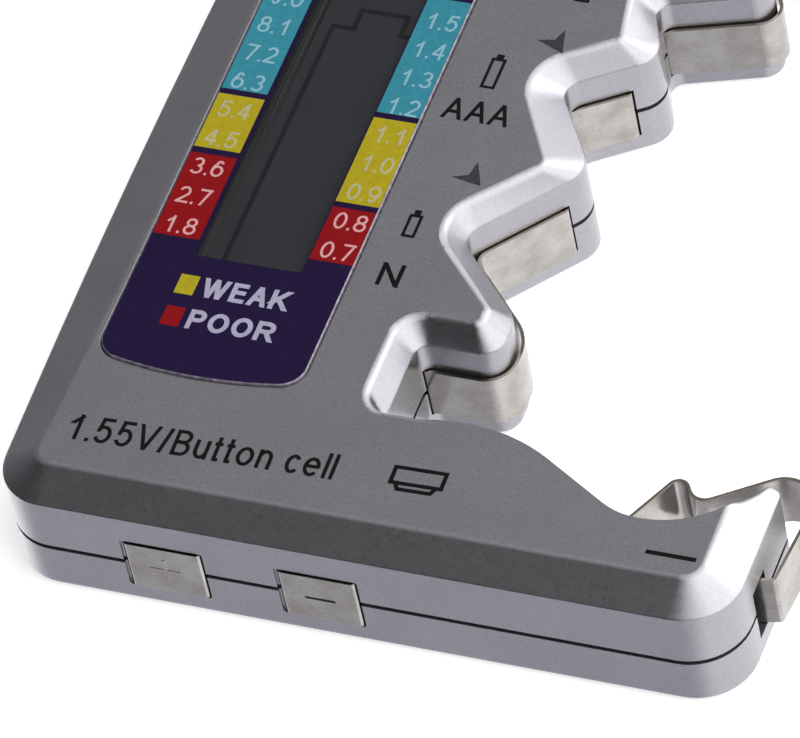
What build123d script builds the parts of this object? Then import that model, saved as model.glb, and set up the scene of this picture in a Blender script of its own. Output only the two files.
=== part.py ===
"""Pocket battery tester: a flat two-part case with stepped contacts, a sprung minus contact on a hook,
a pocket for button cells, two pads for nine-volt blocks and a display under a printed clear plate.

The case lies flat on its back. X runs along the front wall, Y up the length of the case, Z up to the display.
Sizes are in millimetres, drawn from the front left corner, and centred on the origin at the very end.
"""
import os

from build123d import *

# Case
CASE_WIDTH = 63.6
CASE_LENGTH = 87.6
CASE_HEIGHT = 12.0
SEAM_Z = 4.7
SEAM_GAP = 0.45
BEVEL_DROP = 2.0
WALL = 1.6
FLOOR = 1.6
ROOF = 2.0
SIDE_SWELL = 0.6
LIP_THICKNESS = 0.7
LIP_HEIGHT = 0.8
LIP_CLEARANCE = 0.1
BASE_EDGE_RADIUS = 0.4
UPPER_EDGE_RADIUS = 0.8
LEVEL_TOLERANCE = 0.01

# Battery bay and button-cell pocket
HOOK_TIP_Y = 14.2
BAY_WALL_Y = 14.05
POCKET_X = 29.9
POCKET_BACK_Y = 22.7
POCKET_RADIUS = 0.6

# Contact strips: nickel-plated spring sheet on edge
STRIP_THICKNESS = 0.3
STRIP_LOW_Z = 1.95
STRIP_HIGH_Z = 7.15
SLOT_CLEARANCE = 0.15

# Outer faces of the contact strips, counter-clockwise round the case: x, y, bend radius
N_AND_BUTTON_PATH = [
    (27.3, 22.2, 0.0),
    (37.4, 22.2, 2.6),
    (37.4, 27.5, 4.8),
    (30.29, 34.61, 1.2),
    (36.2, 41.19, 0.4),
    (33.3, 43.8, 0.0),
]
AAA_PATH = [
    (29.0, 49.06, 0.0),
    (37.2, 54.4, 0.4),
    (35.1, 57.6, 0.0),
]
AA_C_D_PATH = [
    (33.93, 60.48, 0.0),
    (47.33, 64.75, 2.0),
    (43.15, 73.4, 1.2),
    (57.2, 74.5, 0.4),
    (56.9, 78.5, 0.0),
]
MINUS_SPRING_PATH = [
    (60.9, 6.9, 0.0),
    (64.85, 7.7, 0.4),
    (66.15, 20.85, 2.7),
    (56.1, 14.0, 1.2),
    (54.2, 17.0, 1.0),
    (49.2, 7.4, 0.0),
]
BUTTON_SPRING_PATH = [
    (38.0, 11.2, 0.0),
    (37.6, 14.4, 1.0),
    (34.3, 17.2, 2.0),
    (31.0, 14.4, 1.0),
    (30.6, 11.2, 0.0),
]
# Windows in the wall that the springs move in: the low and high corners, x and y
SPRING_WINDOWS = [
    ((60.0, 5.8), (65.0, 8.5)),
    ((48.2, 5.0), (51.6, 12.0)),
    ((30.0, 10.5), (38.6, 15.0)),
]

# Nine-volt pads on the front wall
PAD_WIDTH = 6.7
PAD_PITCH = 13.3
PLUS_PAD_X = 15.45
PAD_PROUD = 0.15
PAD_LEG_DEPTH = 4.0
PAD_BEND = 0.4
PAD_RECESS_TOP = 0.1
PAD_SIGN_LENGTH = 2.7
PAD_SIGN_WIDTH = 0.32
PAD_CROSS_HEIGHT = 0.03
PAD_LINE_DEPTH = 0.1

# Display and its printed plate
PLATE_LEFT = 5.04
PLATE_RIGHT = 22.84
PLATE_LOW_SIDE = 14.8
PLATE_HIGH_SIDE = 72.6
PLATE_BULGE = 1.0
PLATE_RADIUS = 2.2
PLATE_THICKNESS = 0.5
PLATE_SUNK = 0.3
PLATE_SEAT_CHAMFER = 0.12
BOARD_TOP_Z = 6.0
BOARD_THICKNESS = 1.0
BOARD_LOW = (3.8, 17.0)
BOARD_HIGH = (26.8, 76.0)
GLASS_THICKNESS = 0.7
FILM_THICKNESS = 0.2
GLASS_LOW = (6.6, 24.0)
GLASS_HIGH = (21.6, 63.6)
GLASS_LEDGE = 3.0
FRAME_CLEARANCE = 0.1
FRAME_WALL = 1.1
FRAME_RIM = 1.2
FILM_MARGIN = 0.3
CONNECTOR_MARGIN = 1.0
CONNECTOR_SIDES = (0.2, 2.4)
GLASS_CLEARANCE = 0.2
DISPLAY_LOW_Z = 9.7

# Screws: x, y of each
CASE_SCREWS = [(6.5, 8.2), (41.5, 6.5), (6.8, 80.6), (52.0, 81.6)]
BOARD_SCREWS = [(7.5, 19.8), (24.7, 44.0), (14.0, 71.2)]
CASE_PILOT_RADIUS = 0.85
BOARD_PILOT_RADIUS = 0.7
SCREW_CLEARANCE = 0.05
CASE_POST_RADIUS = 2.2
BASE_POST_RADIUS = 3.0
BOARD_POST_RADIUS = 1.7
CASE_HEAD_RADIUS = 1.9
CASE_HEAD_HEIGHT = 1.2
CASE_HEAD_SEAT_Z = 2.0
CASE_SCREW_LENGTH = 6.5
BOARD_HEAD_RADIUS = 1.4
BOARD_HEAD_HEIGHT = 0.9
BOARD_SCREW_LENGTH = 4.0

# Wiring: each lead runs from the tail of its contact to the underside of the board
LEAD_RADIUS = 0.45
LEAD_BEND = 1.0
LEAD_END_Z = BOARD_TOP_Z - BOARD_THICKNESS
PLUS_LEADS = [
    [(32.6, 44.3, 3.6), (28.5, 46.5, 3.6), (25.6, 46.5, 3.6), (25.6, 46.5, LEAD_END_Z)],
    [(34.5, 58.0, 3.6), (30.0, 57.2, 3.6), (25.4, 57.2, 3.6), (25.4, 57.2, LEAD_END_Z)],
    [(33.4, 60.1, 3.6), (29.5, 61.3, 3.6), (25.4, 61.5, 3.6), (25.4, 61.5, LEAD_END_Z)],
    [(18.65, 4.6, 3.8), (18.65, 9.0, 3.8), (16.5, 18.4, 3.8), (16.5, 18.4, LEAD_END_Z)],
]
MINUS_LEADS = [
    [
        (60.0, 6.1, 2.6),
        (57.0, 3.4, 2.6),
        (50.0, 2.6, 2.6),
        (37.5, 2.7, 2.6),
        (34.0, 7.0, 2.6),
        (22.0, 11.0, 2.6),
        (11.5, 18.4, 2.6),
        (11.5, 18.4, LEAD_END_Z),
    ],
    [(29.6, 11.6, 3.8), (26.6, 13.6, 3.8), (25.2, 18.3, 3.8), (25.2, 18.3, LEAD_END_Z)],
    [(25.55, 4.6, 3.8), (25.3, 9.0, 3.8), (21.3, 18.3, 3.8), (21.3, 18.3, LEAD_END_Z)],
]

# Components under the board: x, y, turn in degrees
LOAD_RESISTORS = [(21.5, 27.0, 90), (21.5, 36.0, 90)]
SMALL_RESISTORS = [
    (8.5, 28.0, 0),
    (8.5, 31.0, 0),
    (8.5, 34.0, 0),
    (8.5, 58.0, 0),
    (8.5, 61.0, 0),
    (18.5, 58.0, 90),
]
CAPACITORS = [(9.0, 41.0, 90), (9.0, 47.0, 90), (14.5, 36.5, 0), (14.5, 58.0, 0)]
# Length, width and height of one of each
LOAD_RESISTOR_SIZE = (6.3, 3.2, 0.6)
SMALL_RESISTOR_SIZE = (2.0, 1.25, 0.5)
CAPACITOR_SIZE = (3.2, 1.6, 1.1)
CHIP_COVER_PLACE = (15.0, 47.0)
CHIP_COVER_RADIUS = 3.6
CHIP_COVER_HEIGHT = 1.2
CHIP_COVER_ROUNDING = 0.9

# Corners of the case wall, counter-clockwise from the front left: x, y, corner radius
FRONT_CORNERS = [
    (0.95, 0.0, 4.5),
    (CASE_WIDTH, 0.0, 4.8),
]
BAY_CORNERS = [
    (CASE_WIDTH, HOOK_TIP_Y, 0.5),
    (62.6, HOOK_TIP_Y, 0.5),
    (60.4, 7.8, 8.8),
    (52.25, 7.8, 6.5),
    (41.46, BAY_WALL_Y, 15.0),
    (POCKET_X, BAY_WALL_Y, POCKET_RADIUS),
]
# The bevel takes this way across the open bay
ACROSS_BAY = [
    (CASE_WIDTH, 19.0, 0.0),
    (33.5, BAY_WALL_Y, 0.0),
    (POCKET_X, BAY_WALL_Y, POCKET_RADIUS),
]
STEP_CORNERS = [
    (POCKET_X, POCKET_BACK_Y, 1.2),
    (36.85, POCKET_BACK_Y, 1.9),
    (36.85, 26.85, 2.9),
    (29.45, 34.25, 1.7),
    (37.63, 43.4, 2.6),
    (32.2, 51.6, 1.5),
    (39.5, 56.35, 2.4),
    (37.05, 61.9, 1.2),
    (46.6, 65.0, 1.8),
    (42.3, 73.9, 1.7),
    (60.6, 75.3, 2.6),
]
BACK_CORNERS = [
    (60.6, CASE_LENGTH, 6.0),
    (0.95, CASE_LENGTH, 4.5),
    (-SIDE_SWELL, CASE_LENGTH / 2, 1000.0),
]

# The same corners on the flat top, inside the bevel
FLAT_FRONT_CORNERS = [
    (3.95, 2.85, 1.5),
    (60.6, 2.85, 1.5),
]
FLAT_ACROSS_BAY = [
    (60.6, 19.0, 0.0),
    (33.5, BAY_WALL_Y, 0.0),
    (28.25, BAY_WALL_Y, 2.2),
]
FLAT_STEP_CORNERS = [
    (28.25, 24.15, 2.4),
    (35.1, 24.15, 0.7),
    (35.1, 25.95, 0.8),
    (27.1, 33.95, 3.7),
    (34.7, 41.6, 1.3),
    (28.9, 51.4, 4.0),
    (36.3, 56.05, 0.6),
    (35.2, 63.0, 2.5),
    (44.0, 65.9, 1.3),
    (40.0, 75.6, 3.0),
    (57.7, 77.2, 1.5),
]
FLAT_BACK_CORNERS = [
    (57.7, CASE_LENGTH - 2.9, 3.2),
    (3.95, CASE_LENGTH - 2.9, 1.5),
    (4.75, CASE_LENGTH / 2, 1000.0),
]


def flat_shape(corners, z=0.0):
    """A closed face at height z with straight sides and round corners."""
    points = [(x, y, z) for x, y, _ in corners]
    radii = [radius for _, _, radius in corners]
    return make_face(FilletPolyline(*points, radius=radii, close=True))


def prism(face, low_z, high_z):
    """The face stood up from low_z to high_z."""
    return Pos(0, 0, low_z) * extrude(face, amount=high_z - low_z, dir=(0, 0, 1))


def case_face():
    return flat_shape(FRONT_CORNERS + BAY_CORNERS + STEP_CORNERS + BACK_CORNERS)


def level_edges(shape, z):
    """The edges that lie flat at height z."""
    edges = shape.edges().filter_by_position(Axis.Z, z - LEVEL_TOLERANCE, z + LEVEL_TOLERANCE)
    return edges.filter_by(lambda edge: edge.bounding_box().size.Z < LEVEL_TOLERANCE)


def bevel_envelope():
    """Everything inside the bevel. It crosses the open bay, whose own wall has a square top edge."""
    low = FRONT_CORNERS + ACROSS_BAY + STEP_CORNERS + BACK_CORNERS
    high = FLAT_FRONT_CORNERS + FLAT_ACROSS_BAY + FLAT_STEP_CORNERS + FLAT_BACK_CORNERS
    bevel_z = CASE_HEIGHT - BEVEL_DROP
    slope = loft([flat_shape(low, bevel_z), flat_shape(high, CASE_HEIGHT)], ruled=True)
    envelope = slope + prism(flat_shape(low), 0.0, bevel_z)
    return fillet(level_edges(envelope, CASE_HEIGHT), UPPER_EDGE_RADIUS)


def plate_face(left, right, low_side, high_side, bulge, radius):
    """A plate with straight sides and bowed ends: bulge is how far each end's middle stands out."""
    middle = (left + right) / 2
    outline = [
        Line((left, high_side), (left, low_side)),
        ThreePointArc((left, low_side), (middle, low_side - bulge), (right, low_side)),
        Line((right, low_side), (right, high_side)),
        ThreePointArc((right, high_side), (middle, high_side + bulge), (left, high_side)),
    ]
    face = make_face(outline)
    return fillet(face.vertices(), radius)


def box(low, high):
    """A block from its low corner to its high corner."""
    size = [b - a for a, b in zip(low, high)]
    return Pos(*low) * Box(*size, align=(Align.MIN, Align.MIN, Align.MIN))


def post(x, y, radius, low_z, high_z):
    return Pos(x, y, low_z) * Cylinder(radius, high_z - low_z, align=(Align.CENTER, Align.CENTER, Align.MIN))


def ribbon(path, thickness, low_z, high_z, side=Side.LEFT):
    """Sheet metal stood on edge: the path is its outer face, and the thickness lies towards the case."""
    points = [(x, y) for x, y, _ in path]
    radii = [radius for _, _, radius in path[1:-1]]
    outer_face = FilletPolyline(*points, radius=radii)
    return prism(make_face(offset(outer_face, thickness, side=side)), low_z, high_z)


def strip(path):
    return ribbon(path, STRIP_THICKNESS, STRIP_LOW_Z, STRIP_HIGH_Z)


def strip_room(path):
    """The space a fixed strip needs where it passes through a wall."""
    low_z = STRIP_LOW_Z - SLOT_CLEARANCE
    high_z = STRIP_HIGH_Z + SLOT_CLEARANCE
    outside = ribbon(path, SLOT_CLEARANCE, low_z, high_z, Side.RIGHT)
    inside = ribbon(path, STRIP_THICKNESS + SLOT_CLEARANCE, low_z, high_z)
    return outside + inside


def wall_inset(distance):
    """The case outline moved inwards."""
    return offset(case_face(), amount=-distance)


def case_slots():
    """Openings in the side walls for everything that passes through them."""
    fixed = [N_AND_BUTTON_PATH, AAA_PATH, AA_C_D_PATH, pad_path(0), pad_path(1)]
    slots = [strip_room(path) for path in fixed]
    slots += [pad_recess(index) for index in range(2)]
    low_z = STRIP_LOW_Z - SLOT_CLEARANCE
    high_z = STRIP_HIGH_Z + SLOT_CLEARANCE
    for (left, low), (right, high) in SPRING_WINDOWS:
        slots.append(box((left, low, low_z), (right, high, high_z)))
    return slots


def pad_path(index):
    """A pad bent from strip: a flat face with a leg at each end. Index 0 is plus and 1 is minus."""
    left = PLUS_PAD_X - PAD_WIDTH / 2 + index * PAD_PITCH
    right = left + PAD_WIDTH
    return [
        (left, PAD_LEG_DEPTH, 0.0),
        (left, -PAD_PROUD, PAD_BEND),
        (right, -PAD_PROUD, PAD_BEND),
        (right, PAD_LEG_DEPTH, 0.0),
    ]


def pad_recess(index):
    """The shallow seat in the front wall that a pad lies in."""
    left = PLUS_PAD_X - PAD_WIDTH / 2 + index * PAD_PITCH - 2 * SLOT_CLEARANCE
    right = left + PAD_WIDTH + 3 * SLOT_CLEARANCE
    return box((left, -PAD_PROUD, STRIP_LOW_Z), (right, 2 * SLOT_CLEARANCE, STRIP_HIGH_Z + PAD_RECESS_TOP))


def nine_volt_pads():
    """The plus pad has a raised cross and the minus pad a pressed line."""
    middle_z = (STRIP_LOW_Z + STRIP_HIGH_Z) / 2
    bar = Box(PAD_SIGN_LENGTH, 2 * PAD_CROSS_HEIGHT, PAD_SIGN_WIDTH)
    upright = Box(PAD_SIGN_WIDTH, 2 * PAD_CROSS_HEIGHT, PAD_SIGN_LENGTH)
    line = Box(PAD_SIGN_LENGTH, 2 * PAD_LINE_DEPTH, PAD_SIGN_WIDTH)
    plus = strip(pad_path(0)) + Pos(PLUS_PAD_X, -PAD_PROUD, middle_z) * (bar + upright)
    minus = strip(pad_path(1)) - Pos(PLUS_PAD_X + PAD_PITCH, -PAD_PROUD, middle_z) * line
    return plus, minus


def plate_seat():
    """The room for the plate in the top shell, with a chamfered mouth."""
    face = plate_face(PLATE_LEFT, PLATE_RIGHT, PLATE_LOW_SIDE, PLATE_HIGH_SIDE, PLATE_BULGE, PLATE_RADIUS)
    gap = SLOT_CLEARANCE / 3
    foot = Pos(0, 0, CASE_HEIGHT - PLATE_SEAT_CHAMFER) * offset(face, gap)
    mouth = Pos(0, 0, CASE_HEIGHT) * offset(face, gap + PLATE_SEAT_CHAMFER)
    well = prism(offset(face, gap), CASE_HEIGHT - PLATE_SUNK, CASE_HEIGHT + 1)
    return well + loft([foot, mouth], ruled=True)


def top_shell():
    """The printed half: bevelled outside, open below, with the display opening and the screw posts."""
    low_z = SEAM_Z + SEAM_GAP / 2
    ceiling_z = CASE_HEIGHT - ROOF
    shell = prism(case_face(), low_z, CASE_HEIGHT) & bevel_envelope()
    shell -= prism(wall_inset(WALL), low_z, ceiling_z)
    rebate_top = SEAM_Z + LIP_HEIGHT + LIP_CLEARANCE
    shell -= prism(wall_inset(WALL - LIP_THICKNESS - LIP_CLEARANCE), low_z, rebate_top)
    for x, y in CASE_SCREWS:
        shell += post(x, y, CASE_POST_RADIUS, SEAM_Z, ceiling_z + LIP_CLEARANCE)
    for x, y in BOARD_SCREWS:
        shell += post(x, y, BOARD_POST_RADIUS, BOARD_TOP_Z, ceiling_z + LIP_CLEARANCE)
    shell -= [post(x, y, CASE_PILOT_RADIUS, SEAM_Z, ceiling_z) for x, y in CASE_SCREWS]
    shell -= [post(x, y, BOARD_PILOT_RADIUS, BOARD_TOP_Z, ceiling_z) for x, y in BOARD_SCREWS]
    shell -= box(
        [low - GLASS_CLEARANCE for low in GLASS_LOW] + [ceiling_z - 1],
        [high + GLASS_CLEARANCE for high in GLASS_HIGH] + [CASE_HEIGHT + 1],
    )
    return shell - plate_seat() - case_slots()


def bottom_shell():
    """The plain half: floor, wall, a lip that locates the top half, and the screw posts."""
    rim_z = SEAM_Z - SEAM_GAP / 2
    shell = prism(case_face(), 0.0, rim_z)
    shell = fillet(shell.faces().sort_by(Axis.Z)[0].edges(), BASE_EDGE_RADIUS)
    shell -= prism(wall_inset(WALL), FLOOR, rim_z)
    lip = prism(wall_inset(WALL - LIP_THICKNESS), FLOOR, SEAM_Z + LIP_HEIGHT)
    shell += lip - prism(wall_inset(WALL), FLOOR, SEAM_Z + LIP_HEIGHT)
    for x, y in CASE_SCREWS:
        shell += post(x, y, BASE_POST_RADIUS, FLOOR - LIP_CLEARANCE, SEAM_Z)
    for x, y in CASE_SCREWS:
        shell -= post(x, y, CASE_PILOT_RADIUS + 4 * SCREW_CLEARANCE, 0.0, SEAM_Z)
        shell -= post(x, y, CASE_HEAD_RADIUS + 4 * SCREW_CLEARANCE, 0.0, CASE_HEAD_SEAT_Z)
    return shell - case_slots()


def screws(places, seat_z, head_size, shank_size):
    """Pan-head screws driven upwards, each with a cross recess. Sizes are a radius and a height."""
    head_radius, head_height = head_size
    shank_radius, length = shank_size
    group = []
    for x, y in places:
        head = post(x, y, head_radius, seat_z - head_height, seat_z)
        head = fillet(head.faces().sort_by(Axis.Z)[0].edges(), head_height / 3)
        screw = head + post(x, y, shank_radius, seat_z - LIP_CLEARANCE, seat_z + length)
        for angle in (0, 90):
            slot = Box(head_radius * 1.2, shank_radius / 2, head_height)
            screw -= Pos(x, y, seat_z - head_height) * Rot(0, 0, angle) * slot
        group.append(screw)
    return group


def display_films(rear_left, top_z):
    """The rear film under the cell and the front film on it, each a little smaller than the glass."""
    low = GLASS_LOW[1] + FILM_MARGIN
    right = GLASS_HIGH[0] - FILM_MARGIN
    high = GLASS_HIGH[1] - FILM_MARGIN
    rear_low_corner = (rear_left + FILM_MARGIN, low, DISPLAY_LOW_Z)
    front_low_corner = (rear_left + CONNECTOR_MARGIN, low, top_z)
    return {
        "display_rear_film": box(rear_low_corner, (right, high, DISPLAY_LOW_Z + FILM_THICKNESS)),
        "display_front_film": box(front_low_corner, (right, high, top_z + FILM_THICKNESS)),
    }


def rubber_connector(margin, top_z):
    """The striped rubber bar between the board and the front glass, or the room for it with a margin."""
    left_side, right_side = CONNECTOR_SIDES
    low = (GLASS_LOW[0] + left_side - margin, GLASS_LOW[1] + CONNECTOR_MARGIN - margin, BOARD_TOP_Z)
    high = (GLASS_LOW[0] + right_side + margin, GLASS_HIGH[1] - CONNECTOR_MARGIN + margin, top_z)
    return box(low, high)


def display_frame(rear_left):
    """The frame under the glasses: a rim round them and a bar beside the connector, below the ceiling."""
    top_z = CASE_HEIGHT - ROOF - FRAME_CLEARANCE
    left, low = GLASS_LOW
    right, high = GLASS_HIGH
    outside = FRAME_CLEARANCE + FRAME_WALL
    frame = box((left - outside, low - outside, BOARD_TOP_Z), (right + outside, high + outside, top_z))
    frame -= box(
        (left - FRAME_CLEARANCE, low - FRAME_CLEARANCE, DISPLAY_LOW_Z),
        (right + FRAME_CLEARANCE, high + FRAME_CLEARANCE, top_z),
    )
    frame -= rubber_connector(FRAME_CLEARANCE, top_z)
    return frame - box(
        (rear_left + FRAME_RIM, low + FRAME_RIM, BOARD_TOP_Z), (right - FRAME_RIM, high - FRAME_RIM, top_z)
    )


def display_parts():
    """The liquid-crystal cell: two glasses, two films, a rubber connector and the frame round them."""
    left, low = GLASS_LOW
    right, high = GLASS_HIGH
    rear_left = left + GLASS_LEDGE
    rear_z = DISPLAY_LOW_Z + FILM_THICKNESS
    front_z = rear_z + GLASS_THICKNESS
    top_z = front_z + GLASS_THICKNESS
    parts = display_films(rear_left, top_z)
    parts["display_rear_glass"] = box((rear_left, low, rear_z), (right, high, front_z))
    parts["display_front_glass"] = box((left, low, front_z), (right, high, top_z))
    parts["rubber_connector"] = rubber_connector(0.0, front_z)
    parts["display_frame"] = display_frame(rear_left)
    return parts


def scale_plate():
    face = plate_face(PLATE_LEFT, PLATE_RIGHT, PLATE_LOW_SIDE, PLATE_HIGH_SIDE, PLATE_BULGE, PLATE_RADIUS)
    low_z = CASE_HEIGHT - PLATE_SUNK
    return prism(face, low_z, low_z + PLATE_THICKNESS)


def circuit_board():
    low_z = BOARD_TOP_Z - BOARD_THICKNESS
    board = box((*BOARD_LOW, low_z), (*BOARD_HIGH, BOARD_TOP_Z))
    board = fillet(board.edges().filter_by(Axis.Z), 1.0)
    return board - [post(x, y, BOARD_PILOT_RADIUS + SCREW_CLEARANCE, low_z, BOARD_TOP_Z) for x, y in BOARD_SCREWS]


def under_board(places, size):
    """Components soldered to the underside of the board, one block each."""
    top_z = BOARD_TOP_Z - BOARD_THICKNESS
    blocks = []
    for x, y, turn in places:
        block = Box(*size, align=(Align.CENTER, Align.CENTER, Align.MAX))
        blocks.append(Pos(x, y, top_z) * Rot(0, 0, turn) * block)
    return blocks


def chip_cover():
    """The epoxy dome over the measuring chip."""
    top_z = BOARD_TOP_Z - BOARD_THICKNESS
    dome = post(*CHIP_COVER_PLACE, CHIP_COVER_RADIUS, top_z - CHIP_COVER_HEIGHT, top_z)
    return fillet(dome.faces().sort_by(Axis.Z)[0].edges(), CHIP_COVER_ROUNDING)


def lead(points):
    """An insulated wire of straight runs joined by arcs."""
    route = FilletPolyline(*points, radius=LEAD_BEND)
    start = Plane(origin=route @ 0, z_dir=route % 0)
    return sweep(start * Circle(LEAD_RADIUS), route)


def build_parts():
    parts = {
        "top_shell": top_shell(),
        "bottom_shell": bottom_shell(),
        "scale_plate": scale_plate(),
        "n_and_button_strip": strip(N_AND_BUTTON_PATH),
        "aaa_strip": strip(AAA_PATH),
        "aa_c_d_strip": strip(AA_C_D_PATH),
        "minus_spring": strip(MINUS_SPRING_PATH),
        "button_cell_spring": strip(BUTTON_SPRING_PATH),
        "circuit_board": circuit_board(),
        "chip_cover": chip_cover(),
        "load_resistors": under_board(LOAD_RESISTORS, LOAD_RESISTOR_SIZE),
        "small_resistors": under_board(SMALL_RESISTORS, SMALL_RESISTOR_SIZE),
        "capacitors": under_board(CAPACITORS, CAPACITOR_SIZE),
        "plus_leads": [lead(points) for points in PLUS_LEADS],
        "minus_leads": [lead(points) for points in MINUS_LEADS],
        "case_screws": screws(
            CASE_SCREWS,
            CASE_HEAD_SEAT_Z,
            (CASE_HEAD_RADIUS, CASE_HEAD_HEIGHT),
            (CASE_PILOT_RADIUS - SCREW_CLEARANCE, CASE_SCREW_LENGTH),
        ),
        "board_screws": screws(
            BOARD_SCREWS,
            BOARD_TOP_Z - BOARD_THICKNESS,
            (BOARD_HEAD_RADIUS, BOARD_HEAD_HEIGHT),
            (BOARD_PILOT_RADIUS - SCREW_CLEARANCE, BOARD_SCREW_LENGTH),
        ),
    }
    parts["nine_volt_plus_pad"], parts["nine_volt_minus_pad"] = nine_volt_pads()
    parts.update(display_parts())
    return {name: shape if isinstance(shape, list) else [shape] for name, shape in parts.items()}


def main():
    os.makedirs("parts", exist_ok=True)
    parts = {name: ShapeList(shape).solids() for name, shape in build_parts().items()}
    whole = Compound([solid for solids in parts.values() for solid in solids])
    middle = whole.bounding_box().center()
    for name, solids in parts.items():
        moved = [Pos(-middle.X, -middle.Y, 0) * solid for solid in solids]
        export_step(Compound(moved), f"parts/{name}.step")
    print("moved by", -middle.X, -middle.Y)


if __name__ == "__main__":
    main()
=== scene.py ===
"""The battery tester's looks: paint, nickel, printed plate, prints on the case, light and camera."""
import math

import bmesh
import bpy
from mathutils import Matrix, Vector


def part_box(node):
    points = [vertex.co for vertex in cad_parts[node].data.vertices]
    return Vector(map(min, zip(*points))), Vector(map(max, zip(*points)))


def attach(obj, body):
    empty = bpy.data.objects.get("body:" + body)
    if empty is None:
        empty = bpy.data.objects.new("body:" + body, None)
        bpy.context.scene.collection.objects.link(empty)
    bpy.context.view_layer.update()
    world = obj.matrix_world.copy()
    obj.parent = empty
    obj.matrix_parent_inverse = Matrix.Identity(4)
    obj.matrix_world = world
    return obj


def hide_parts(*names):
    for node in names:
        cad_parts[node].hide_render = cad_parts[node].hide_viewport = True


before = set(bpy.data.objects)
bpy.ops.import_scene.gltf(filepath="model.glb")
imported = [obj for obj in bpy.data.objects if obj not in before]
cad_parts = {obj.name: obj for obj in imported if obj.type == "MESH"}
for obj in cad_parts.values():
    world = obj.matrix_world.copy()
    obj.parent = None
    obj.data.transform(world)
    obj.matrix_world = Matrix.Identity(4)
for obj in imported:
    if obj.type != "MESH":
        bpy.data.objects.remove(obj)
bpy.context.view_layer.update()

MM = 0.001

# Case, in millimetres from its front left corner
CASE_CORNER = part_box("bottom_shell")[0]
FACE_Z = (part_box("top_shell")[1].z - CASE_CORNER.z) / MM
INK_THICKNESS = 0.015
# What crossing strokes differ by in height, so that no two faces lie in one plane
HAIR = 0.0008

# Printed plate
PLATE_LOW, PLATE_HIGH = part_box("scale_plate")
PLATE_BULGE = 1.0
PLATE_RADIUS = 2.2
RIM_WIDTH = 0.08
PANE_THICKNESS = 0.045
WINDOW = (9.45, 26.1, 18.8, 61.0)
WINDOW_RADIUS = 0.35
LEFT_BANDS_X = (5.15, 9.24)
RIGHT_BANDS_X = (18.9, 22.7)
BANDS_Y = {
    "red": ((27.7, 36.75), (27.7, 33.5)),
    "yellow": ((37.4, 43.4), (34.1, 43.5)),
    "blue": ((44.0, 57.2), (44.1, 57.2)),
}
NUMBER_SIZE = (2.85, 1.78)
NUMBER_STROKE = 0.22
NUMBER_LOW_Y = 28.93
NUMBER_PITCH = 3.221
LEFT_NUMBERS = ["1.8", "2.7", "3.6", "4.5", "5.4", "6.3", "7.2", "8.1", "9.0"]
RIGHT_NUMBERS = ["0.7", "0.8", "0.9", "1.0", "1.1", "1.2", "1.3", "1.4", "1.5"]
LEFT_NUMBERS_X = 7.16
RIGHT_NUMBERS_X = 20.95
HEADINGS_Y = 58.95
# Each heading: its words, centre and width
HEADINGS = [("9V", LEFT_NUMBERS_X, 2.4), ("1.5V", RIGHT_NUMBERS_X - 0.1, 3.6)]
# Each line of the legend: its colour, word and height up the plate
LEGEND = [("blue", "GOOD", 66.2), ("yellow", "WEAK", 22.95), ("red", "POOR", 19.53)]
LEGEND_SQUARE = (9.15, 10.8)
LEGEND_WORD_X = (11.35, 18.88)
LEGEND_HEIGHT = 2.05
LEGEND_STROKE = 0.42

# Colours, as linear red, green and blue
PURPLE = (0.012, 0.0055, 0.034)
INKS = {
    "red": (0.21, 0.004, 0.006),
    "yellow": (0.35, 0.285, 0.012),
    "blue": (0.032, 0.205, 0.275),
}
# The white print is thin, so that each band tints its numbers
NUMBER_INKS = {
    "red": (0.57, 0.29, 0.305),
    "yellow": (0.39, 0.36, 0.215),
    "blue": (0.21, 0.39, 0.47),
    "purple": (0.33, 0.315, 0.43),
}
BLACK_INK = (0.003, 0.003, 0.0033)
GREY_INK = (0.026, 0.027, 0.032)

# Camera, in metres from the case's front left corner
CAMERA_PLACE = Vector((0.252443, -0.374034, 0.519231))
CAMERA_RIGHT = (0.9309, 0.3327, -0.1506)
CAMERA_DOWN = (0.1616, -0.7451, -0.6471)
CAMERA_AHEAD = (-0.3275, 0.5781, -0.7474)
CAMERA_LENS = 381.4


# ---------------------------------------------------------------- node helpers

def new_material(name):
    """A node material: returns it, its tree and its Principled shader."""
    material = bpy.data.materials.new(name)
    material.use_nodes = True
    tree = material.node_tree
    return material, tree, tree.nodes["Principled BSDF"]


def add(tree, kind, inputs=(), **settings):
    """Adds a node. Inputs are (socket, value or output to link) pairs."""
    node = tree.nodes.new(kind)
    for name, value in settings.items():
        setattr(node, name, value)
    for key, value in inputs:
        if isinstance(value, bpy.types.NodeSocket):
            tree.links.new(value, node.inputs[key])
        else:
            node.inputs[key].default_value = value
    return node


def place(tree, stretch=(1, 1, 1)):
    """Coordinates fixed to the object, in metres, multiplied along each axis."""
    coordinates = add(tree, "ShaderNodeTexCoord").outputs["Object"]
    inputs = [("Vector", coordinates), ("Scale", stretch)]
    return add(tree, "ShaderNodeMapping", inputs).outputs["Vector"]


def noise(tree, size_mm, detail, stretch=(1, 1, 1)):
    """Cloudy variation whose features are about size_mm across."""
    scale = 1 / (size_mm * MM)
    inputs = [("Vector", place(tree, stretch)), ("Scale", scale), ("Detail", detail)]
    return add(tree, "ShaderNodeTexNoise", inputs).outputs["Fac"]


def span(tree, value, low_in, high_in, low_out, high_out):
    """A value moved from one range to another, and kept inside it."""
    inputs = [(0, value), (1, low_in), (2, high_in), (3, low_out), (4, high_out)]
    return add(tree, "ShaderNodeMapRange", inputs).outputs[0]


def share(tree, value, low, high):
    """How far a value has gone from low to high: 0 before, 1 past it."""
    return span(tree, value, low, high, 0.0, 1.0)


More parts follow.
